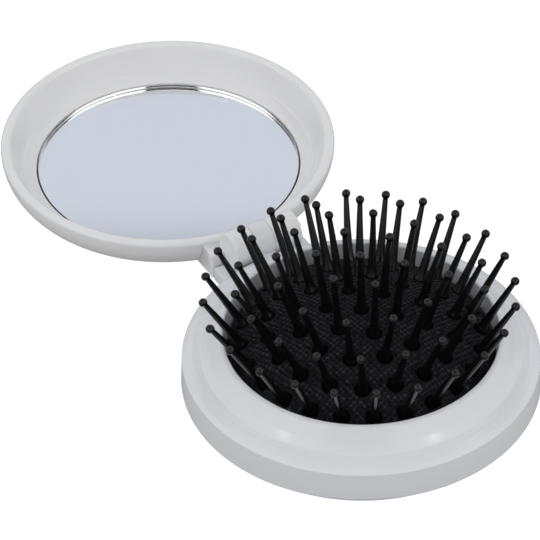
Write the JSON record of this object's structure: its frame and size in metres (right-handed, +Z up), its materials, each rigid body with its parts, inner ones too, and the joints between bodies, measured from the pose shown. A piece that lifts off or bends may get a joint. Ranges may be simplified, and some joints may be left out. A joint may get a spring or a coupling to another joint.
{
  "type": "folding mirror hairbrush",
  "caption": "Round folding pocket hairbrush: a white cup with a domed black rubber cushion full of ball-tipped pins, hinged to a round lid that holds a mirror, lying open flat.",
  "frame": {"origin": "middle of the opened brush's footprint, on the surface it lies on, under the hinge", "axes": "+X along the hinge, +Y from the cup towards the mirror lid, +Z up, out of the pins"},
  "size_m": [0.065, 0.1367, 0.0347],
  "materials": {
    "white_plastic": "glossy white moulded plastic",
    "cushion_rubber": "satin black rubber with a fine moulded grain",
    "black_nylon": "glossy black nylon",
    "mirror_glass": "silvered glass",
    "foam": "white foam tape",
    "hinge_steel": "drawn steel wire"
  },
  "bodies": {
    "base": {"base_shell": "white_plastic", "bezel_ring": "white_plastic", "cushion": "cushion_rubber", "hinge_pin": "hinge_steel"},
    "lid": {"lid_shell": "white_plastic", "mirror": "mirror_glass", "mirror_pad": "foam"},
    "centre_pins": {"centre_pins": "black_nylon"},
    "outer_pin_01": {"outer_pin_01": "black_nylon"},
    "outer_pin_02": {"outer_pin_02": "black_nylon"},
    "outer_pin_03": {"outer_pin_03": "black_nylon"},
    "outer_pin_04": {"outer_pin_04": "black_nylon"},
    "outer_pin_05": {"outer_pin_05": "black_nylon"},
    "outer_pin_06": {"outer_pin_06": "black_nylon"},
    "outer_pin_07": {"outer_pin_07": "black_nylon"},
    "outer_pin_08": {"outer_pin_08": "black_nylon"},
    "outer_pin_09": {"outer_pin_09": "black_nylon"},
    "outer_pin_10": {"outer_pin_10": "black_nylon"},
    "outer_pin_11": {"outer_pin_11": "black_nylon"},
    "outer_pin_12": {"outer_pin_12": "black_nylon"},
    "outer_pin_13": {"outer_pin_13": "black_nylon"},
    "outer_pin_14": {"outer_pin_14": "black_nylon"},
    "outer_pin_15": {"outer_pin_15": "black_nylon"},
    "outer_pin_16": {"outer_pin_16": "black_nylon"},
    "outer_pin_17": {"outer_pin_17": "black_nylon"},
    "outer_pin_18": {"outer_pin_18": "black_nylon"},
    "outer_pin_19": {"outer_pin_19": "black_nylon"},
    "outer_pin_20": {"outer_pin_20": "black_nylon"},
    "outer_pin_21": {"outer_pin_21": "black_nylon"},
    "outer_pin_22": {"outer_pin_22": "black_nylon"},
    "outer_pin_23": {"outer_pin_23": "black_nylon"},
    "outer_pin_24": {"outer_pin_24": "black_nylon"},
    "middle_pin_01": {"middle_pin_01": "black_nylon"},
    "middle_pin_02": {"middle_pin_02": "black_nylon"},
    "middle_pin_03": {"middle_pin_03": "black_nylon"},
    "middle_pin_04": {"middle_pin_04": "black_nylon"},
    "middle_pin_05": {"middle_pin_05": "black_nylon"},
    "middle_pin_06": {"middle_pin_06": "black_nylon"},
    "middle_pin_07": {"middle_pin_07": "black_nylon"},
    "middle_pin_08": {"middle_pin_08": "black_nylon"},
    "middle_pin_09": {"middle_pin_09": "black_nylon"},
    "middle_pin_10": {"middle_pin_10": "black_nylon"},
    "middle_pin_11": {"middle_pin_11": "black_nylon"},
    "middle_pin_12": {"middle_pin_12": "black_nylon"},
    "middle_pin_13": {"middle_pin_13": "black_nylon"},
    "middle_pin_14": {"middle_pin_14": "black_nylon"},
    "middle_pin_15": {"middle_pin_15": "black_nylon"},
    "middle_pin_16": {"middle_pin_16": "black_nylon"},
    "middle_pin_17": {"middle_pin_17": "black_nylon"},
    "middle_pin_18": {"middle_pin_18": "black_nylon"},
    "inner_pin_pair_1": {"inner_pin_pair_1": "black_nylon"},
    "inner_pin_pair_2": {"inner_pin_pair_2": "black_nylon"},
    "inner_pin_pair_3": {"inner_pin_pair_3": "black_nylon"},
    "inner_pin_pair_4": {"inner_pin_pair_4": "black_nylon"},
    "inner_pin_pair_5": {"inner_pin_pair_5": "black_nylon"},
    "inner_pin_pair_6": {"inner_pin_pair_6": "black_nylon"}
  },
  "joints": [
    {"name": "lid_hinge", "type": "hinge", "parent": "base", "child": "lid", "pos_m": [0, 0, 0.0121], "axis": [1, 0, 0], "range_deg": [0, 180]},
    {"name": "centre_push", "type": "slide", "parent": "base", "child": "centre_pins", "axis": [0, 0, -1], "range_m": [0, 0.0179], "deforming": ["cushion"]},
    {"name": "outer_pin_01_roll", "type": "hinge", "parent": "base", "child": "outer_pin_01", "pos_m": [0.00523, -0.00651, 0.0102], "axis": [0.9848, -0.1736, 0], "range_deg": [0, 59.7]},
    {"name": "outer_pin_02_roll", "type": "hinge", "parent": "base", "child": "outer_pin_02", "pos_m": [-0.00262, -0.00617, 0.0102], "axis": [0.9962, 0.0872, 0], "range_deg": [0, 59.7]},
    {"name": "outer_pin_03_roll", "type": "hinge", "parent": "base", "child": "outer_pin_03", "pos_m": [-0.0103, -0.00787, 0.0102], "axis": [0.9397, 0.342, 0], "range_deg": [0, 59.7]},
    {"name": "outer_pin_04_roll", "type": "hinge", "parent": "base", "child": "outer_pin_04", "pos_m": [-0.01726, -0.01149, 0.0102], "axis": [0.8192, 0.5736, 0], "range_deg": [0, 59.7]},
    {"name": "outer_pin_05_roll", "type": "hinge", "parent": "base", "child": "outer_pin_05", "pos_m": [-0.02306, -0.0168, 0.0102], "axis": [0.6428, 0.766, 0], "range_deg": [0, 59.7]},
    {"name": "outer_pin_06_roll", "type": "hinge", "parent": "base", "child": "outer_pin_06", "pos_m": [-0.02728, -0.02343, 0.0102], "axis": [0.4226, 0.9063, 0], "range_deg": [0, 59.7]},
    {"name": "outer_pin_07_roll", "type": "hinge", "parent": "base", "child": "outer_pin_07", "pos_m": [-0.02964, -0.03092, 0.0102], "axis": [0.1736, 0.9848, 0], "range_deg": [0, 59.7]},
    {"name": "outer_pin_08_roll", "type": "hinge", "parent": "base", "child": "outer_pin_08", "pos_m": [-0.02999, -0.03877, 0.0102], "axis": [-0.0872, 0.9962, 0], "range_deg": [0, 59.7]},
    {"name": "outer_pin_09_roll", "type": "hinge", "parent": "base", "child": "outer_pin_09", "pos_m": [-0.02829, -0.04645, 0.0102], "axis": [-0.342, 0.9397, 0], "range_deg": [0, 59.7]},
    {"name": "outer_pin_10_roll", "type": "hinge", "parent": "base", "child": "outer_pin_10", "pos_m": [-0.02466, -0.05341, 0.0102], "axis": [-0.5736, 0.8192, 0], "range_deg": [0, 59.7]},
    {"name": "outer_pin_11_roll", "type": "hinge", "parent": "base", "child": "outer_pin_11", "pos_m": [-0.01935, -0.05921, 0.0102], "axis": [-0.766, 0.6428, 0], "range_deg": [0, 59.7]},
    {"name": "outer_pin_12_roll", "type": "hinge", "parent": "base", "child": "outer_pin_12", "pos_m": [-0.01272, -0.06343, 0.0102], "axis": [-0.9063, 0.4226, 0], "range_deg": [0, 59.7]},
    {"name": "outer_pin_13_roll", "type": "hinge", "parent": "base", "child": "outer_pin_13", "pos_m": [-0.00523, -0.06579, 0.0102], "axis": [-0.9848, 0.1736, 0], "range_deg": [0, 59.7]},
    {"name": "outer_pin_14_roll", "type": "hinge", "parent": "base", "child": "outer_pin_14", "pos_m": [0.00262, -0.06613, 0.0102], "axis": [-0.9962, -0.0872, 0], "range_deg": [0, 59.7]},
    {"name": "outer_pin_15_roll", "type": "hinge", "parent": "base", "child": "outer_pin_15", "pos_m": [0.0103, -0.06444, 0.0102], "axis": [-0.9397, -0.342, 0], "range_deg": [0, 59.7]},
    {"name": "outer_pin_16_roll", "type": "hinge", "parent": "base", "child": "outer_pin_16", "pos_m": [0.01726, -0.06081, 0.0102], "axis": [-0.8192, -0.5736, 0], "range_deg": [0, 59.7]},
    {"name": "outer_pin_17_roll", "type": "hinge", "parent": "base", "child": "outer_pin_17", "pos_m": [0.02306, -0.0555, 0.0102], "axis": [-0.6428, -0.766, 0], "range_deg": [0, 59.7]},
    {"name": "outer_pin_18_roll", "type": "hinge", "parent": "base", "child": "outer_pin_18", "pos_m": [0.02728, -0.04887, 0.0102], "axis": [-0.4226, -0.9063, 0], "range_deg": [0, 59.7]},
    {"name": "outer_pin_19_roll", "type": "hinge", "parent": "base", "child": "outer_pin_19", "pos_m": [0.02964, -0.04138, 0.0102], "axis": [-0.1736, -0.9848, 0], "range_deg": [0, 59.7]},
    {"name": "outer_pin_20_roll", "type": "hinge", "parent": "base", "child": "outer_pin_20", "pos_m": [0.02999, -0.03353, 0.0102], "axis": [0.0872, -0.9962, 0], "range_deg": [0, 59.7]},
    {"name": "outer_pin_21_roll", "type": "hinge", "parent": "base", "child": "outer_pin_21", "pos_m": [0.02829, -0.02585, 0.0102], "axis": [0.342, -0.9397, 0], "range_deg": [0, 59.7]},
    {"name": "outer_pin_22_roll", "type": "hinge", "parent": "base", "child": "outer_pin_22", "pos_m": [0.02466, -0.01888, 0.0102], "axis": [0.5736, -0.8192, 0], "range_deg": [0, 59.7]},
    {"name": "outer_pin_23_roll", "type": "hinge", "parent": "base", "child": "outer_pin_23", "pos_m": [0.01935, -0.01309, 0.0102], "axis": [0.766, -0.6428, 0], "range_deg": [0, 59.7]},
    {"name": "outer_pin_24_roll", "type": "hinge", "parent": "base", "child": "outer_pin_24", "pos_m": [0.01272, -0.00887, 0.0102], "axis": [0.9063, -0.4226, 0], "range_deg": [0, 59.7]},
    {"name": "middle_pin_01_roll", "type": "hinge", "parent": "base", "child": "middle_pin_01", "pos_m": [0.00554, -0.00473, 0.01105], "axis": [0.9848, -0.1736, 0], "range_deg": [0, 46.9]},
    {"name": "middle_pin_02_roll", "type": "hinge", "parent": "base", "child": "middle_pin_02", "pos_m": [-0.00554, -0.00473, 0.01105], "axis": [0.9848, 0.1736, 0], "range_deg": [0, 46.9]},
    {"name": "middle_pin_03_roll", "type": "hinge", "parent": "base", "child": "middle_pin_03", "pos_m": [-0.01595, -0.00852, 0.01105], "axis": [0.866, 0.5, 0], "range_deg": [0, 46.9]},
    {"name": "middle_pin_04_roll", "type": "hinge", "parent": "base", "child": "middle_pin_04", "pos_m": [-0.02444, -0.01564, 0.01105], "axis": [0.6428, 0.766, 0], "range_deg": [0, 46.9]},
    {"name": "middle_pin_05_roll", "type": "hinge", "parent": "base", "child": "middle_pin_05", "pos_m": [-0.02998, -0.02524, 0.01105], "axis": [0.342, 0.9397, 0], "range_deg": [0, 46.9]},
    {"name": "middle_pin_06_roll", "type": "hinge", "parent": "base", "child": "middle_pin_06", "pos_m": [-0.0319, -0.03615, 0.01105], "axis": [0, 1, 0], "range_deg": [0, 46.9]},
    {"name": "middle_pin_07_roll", "type": "hinge", "parent": "base", "child": "middle_pin_07", "pos_m": [-0.02998, -0.04706, 0.01105], "axis": [-0.342, 0.9397, 0], "range_deg": [0, 46.9]},
    {"name": "middle_pin_08_roll", "type": "hinge", "parent": "base", "child": "middle_pin_08", "pos_m": [-0.02444, -0.05665, 0.01105], "axis": [-0.6428, 0.766, 0], "range_deg": [0, 46.9]},
    {"name": "middle_pin_09_roll", "type": "hinge", "parent": "base", "child": "middle_pin_09", "pos_m": [-0.01595, -0.06378, 0.01105], "axis": [-0.866, 0.5, 0], "range_deg": [0, 46.9]},
    {"name": "middle_pin_10_roll", "type": "hinge", "parent": "base", "child": "middle_pin_10", "pos_m": [-0.00554, -0.06757, 0.01105], "axis": [-0.9848, 0.1736, 0], "range_deg": [0, 46.9]},
    {"name": "middle_pin_11_roll", "type": "hinge", "parent": "base", "child": "middle_pin_11", "pos_m": [0.00554, -0.06757, 0.01105], "axis": [-0.9848, -0.1736, 0], "range_deg": [0, 46.9]},
    {"name": "middle_pin_12_roll", "type": "hinge", "parent": "base", "child": "middle_pin_12", "pos_m": [0.01595, -0.06378, 0.01105], "axis": [-0.866, -0.5, 0], "range_deg": [0, 46.9]},
    {"name": "middle_pin_13_roll", "type": "hinge", "parent": "base", "child": "middle_pin_13", "pos_m": [0.02444, -0.05665, 0.01105], "axis": [-0.6428, -0.766, 0], "range_deg": [0, 46.9]},
    {"name": "middle_pin_14_roll", "type": "hinge", "parent": "base", "child": "middle_pin_14", "pos_m": [0.02998, -0.04706, 0.01105], "axis": [-0.342, -0.9397, 0], "range_deg": [0, 46.9]},
    {"name": "middle_pin_15_roll", "type": "hinge", "parent": "base", "child": "middle_pin_15", "pos_m": [0.0319, -0.03615, 0.01105], "axis": [0, -1, 0], "range_deg": [0, 46.9]},
    {"name": "middle_pin_16_roll", "type": "hinge", "parent": "base", "child": "middle_pin_16", "pos_m": [0.02998, -0.02524, 0.01105], "axis": [0.342, -0.9397, 0], "range_deg": [0, 46.9]},
    {"name": "middle_pin_17_roll", "type": "hinge", "parent": "base", "child": "middle_pin_17", "pos_m": [0.02444, -0.01564, 0.01105], "axis": [0.6428, -0.766, 0], "range_deg": [0, 46.9]},
    {"name": "middle_pin_18_roll", "type": "hinge", "parent": "base", "child": "middle_pin_18", "pos_m": [0.01595, -0.00852, 0.01105], "axis": [0.866, -0.5, 0], "range_deg": [0, 46.9]},
    {"name": "inner_pin_pair_1_roll", "type": "hinge", "parent": "base", "child": "inner_pin_pair_1", "pos_m": [-0.00411, 0.01087, 0.0117], "axis": [0.9962, 0.0872, 0], "range_deg": [0, 25.3]},
    {"name": "inner_pin_pair_2_roll", "type": "hinge", "parent": "base", "child": "inner_pin_pair_2", "pos_m": [-0.04278, -0.0162, 0.0117], "axis": [0.4226, 0.9063, 0], "range_deg": [0, 25.3]},
    {"name": "inner_pin_pair_3_roll", "type": "hinge", "parent": "base", "child": "inner_pin_pair_3", "pos_m": [-0.03866, -0.06322, 0.0117], "axis": [-0.5736, 0.8192, 0], "range_deg": [0, 25.3]},
    {"name": "inner_pin_pair_4_roll", "type": "hinge", "parent": "base", "child": "inner_pin_pair_4", "pos_m": [0.00411, -0.08317, 0.0117], "axis": [-0.9962, -0.0872, 0], "range_deg": [0, 25.3]},
    {"name": "inner_pin_pair_5_roll", "type": "hinge", "parent": "base", "child": "inner_pin_pair_5", "pos_m": [0.04278, -0.0561, 0.0117], "axis": [-0.4226, -0.9063, 0], "range_deg": [0, 25.3]},
    {"name": "inner_pin_pair_6_roll", "type": "hinge", "parent": "base", "child": "inner_pin_pair_6", "pos_m": [0.03866, -0.00908, 0.0117], "axis": [0.5736, -0.8192, 0], "range_deg": [0, 25.3]}
  ],
  "couplings": [
    {"joint": "centre_push", "follows": "lid_hinge", "m_per_rad": 0.0056975},
    {"joint": "outer_pin_01_roll", "follows": "lid_hinge", "ratio": 0.33167},
    {"joint": "outer_pin_02_roll", "follows": "lid_hinge", "ratio": 0.33167},
    {"joint": "outer_pin_03_roll", "follows": "lid_hinge", "ratio": 0.33167},
    {"joint": "outer_pin_04_roll", "follows": "lid_hinge", "ratio": 0.33167},
    {"joint": "outer_pin_05_roll", "follows": "lid_hinge", "ratio": 0.33167},
    {"joint": "outer_pin_06_roll", "follows": "lid_hinge", "ratio": 0.33167},
    {"joint": "outer_pin_07_roll", "follows": "lid_hinge", "ratio": 0.33167},
    {"joint": "outer_pin_08_roll", "follows": "lid_hinge", "ratio": 0.33167},
    {"joint": "outer_pin_09_roll", "follows": "lid_hinge", "ratio": 0.33167},
    {"joint": "outer_pin_10_roll", "follows": "lid_hinge", "ratio": 0.33167},
    {"joint": "outer_pin_11_roll", "follows": "lid_hinge", "ratio": 0.33167},
    {"joint": "outer_pin_12_roll", "follows": "lid_hinge", "ratio": 0.33167},
    {"joint": "outer_pin_13_roll", "follows": "lid_hinge", "ratio": 0.33167},
    {"joint": "outer_pin_14_roll", "follows": "lid_hinge", "ratio": 0.33167},
    {"joint": "outer_pin_15_roll", "follows": "lid_hinge", "ratio": 0.33167},
    {"joint": "outer_pin_16_roll", "follows": "lid_hinge", "ratio": 0.33167},
    {"joint": "outer_pin_17_roll", "follows": "lid_hinge", "ratio": 0.33167},
    {"joint": "outer_pin_18_roll", "follows": "lid_hinge", "ratio": 0.33167},
    {"joint": "outer_pin_19_roll", "follows": "lid_hinge", "ratio": 0.33167},
    {"joint": "outer_pin_20_roll", "follows": "lid_hinge", "ratio": 0.33167},
    {"joint": "outer_pin_21_roll", "follows": "lid_hinge", "ratio": 0.33167},
    {"joint": "outer_pin_22_roll", "follows": "lid_hinge", "ratio": 0.33167},
    {"joint": "outer_pin_23_roll", "follows": "lid_hinge", "ratio": 0.33167},
    {"joint": "outer_pin_24_roll", "follows": "lid_hinge", "ratio": 0.33167},
    {"joint": "middle_pin_01_roll", "follows": "lid_hinge", "ratio": 0.26055},
    {"joint": "middle_pin_02_roll", "follows": "lid_hinge", "ratio": 0.26055},
    {"joint": "middle_pin_03_roll", "follows": "lid_hinge", "ratio": 0.26055},
    {"joint": "middle_pin_04_roll", "follows": "lid_hinge", "ratio": 0.26055},
    {"joint": "middle_pin_05_roll", "follows": "lid_hinge", "ratio": 0.26055},
    {"joint": "middle_pin_06_roll", "follows": "lid_hinge", "ratio": 0.26055},
    {"joint": "middle_pin_07_roll", "follows": "lid_hinge", "ratio": 0.26055},
    {"joint": "middle_pin_08_roll", "follows": "lid_hinge", "ratio": 0.26055},
    {"joint": "middle_pin_09_roll", "follows": "lid_hinge", "ratio": 0.26055},
    {"joint": "middle_pin_10_roll", "follows": "lid_hinge", "ratio": 0.26055},
    {"joint": "middle_pin_11_roll", "follows": "lid_hinge", "ratio": 0.26055},
    {"joint": "middle_pin_12_roll", "follows": "lid_hinge", "ratio": 0.26055},
    {"joint": "middle_pin_13_roll", "follows": "lid_hinge", "ratio": 0.26055},
    {"joint": "middle_pin_14_roll", "follows": "lid_hinge", "ratio": 0.26055},
    {"joint": "middle_pin_15_roll", "follows": "lid_hinge", "ratio": 0.26055},
    {"joint": "middle_pin_16_roll", "follows": "lid_hinge", "ratio": 0.26055},
    {"joint": "middle_pin_17_roll", "follows": "lid_hinge", "ratio": 0.26055},
    {"joint": "middle_pin_18_roll", "follows": "lid_hinge", "ratio": 0.26055},
    {"joint": "inner_pin_pair_1_roll", "follows": "lid_hinge", "ratio": 0.14056},
    {"joint": "inner_pin_pair_2_roll", "follows": "lid_hinge", "ratio": 0.14056},
    {"joint": "inner_pin_pair_3_roll", "follows": "lid_hinge", "ratio": 0.14056},
    {"joint": "inner_pin_pair_4_roll", "follows": "lid_hinge", "ratio": 0.14056},
    {"joint": "inner_pin_pair_5_roll", "follows": "lid_hinge", "ratio": 0.14056},
    {"joint": "inner_pin_pair_6_roll", "follows": "lid_hinge", "ratio": 0.14056}
  ]
}
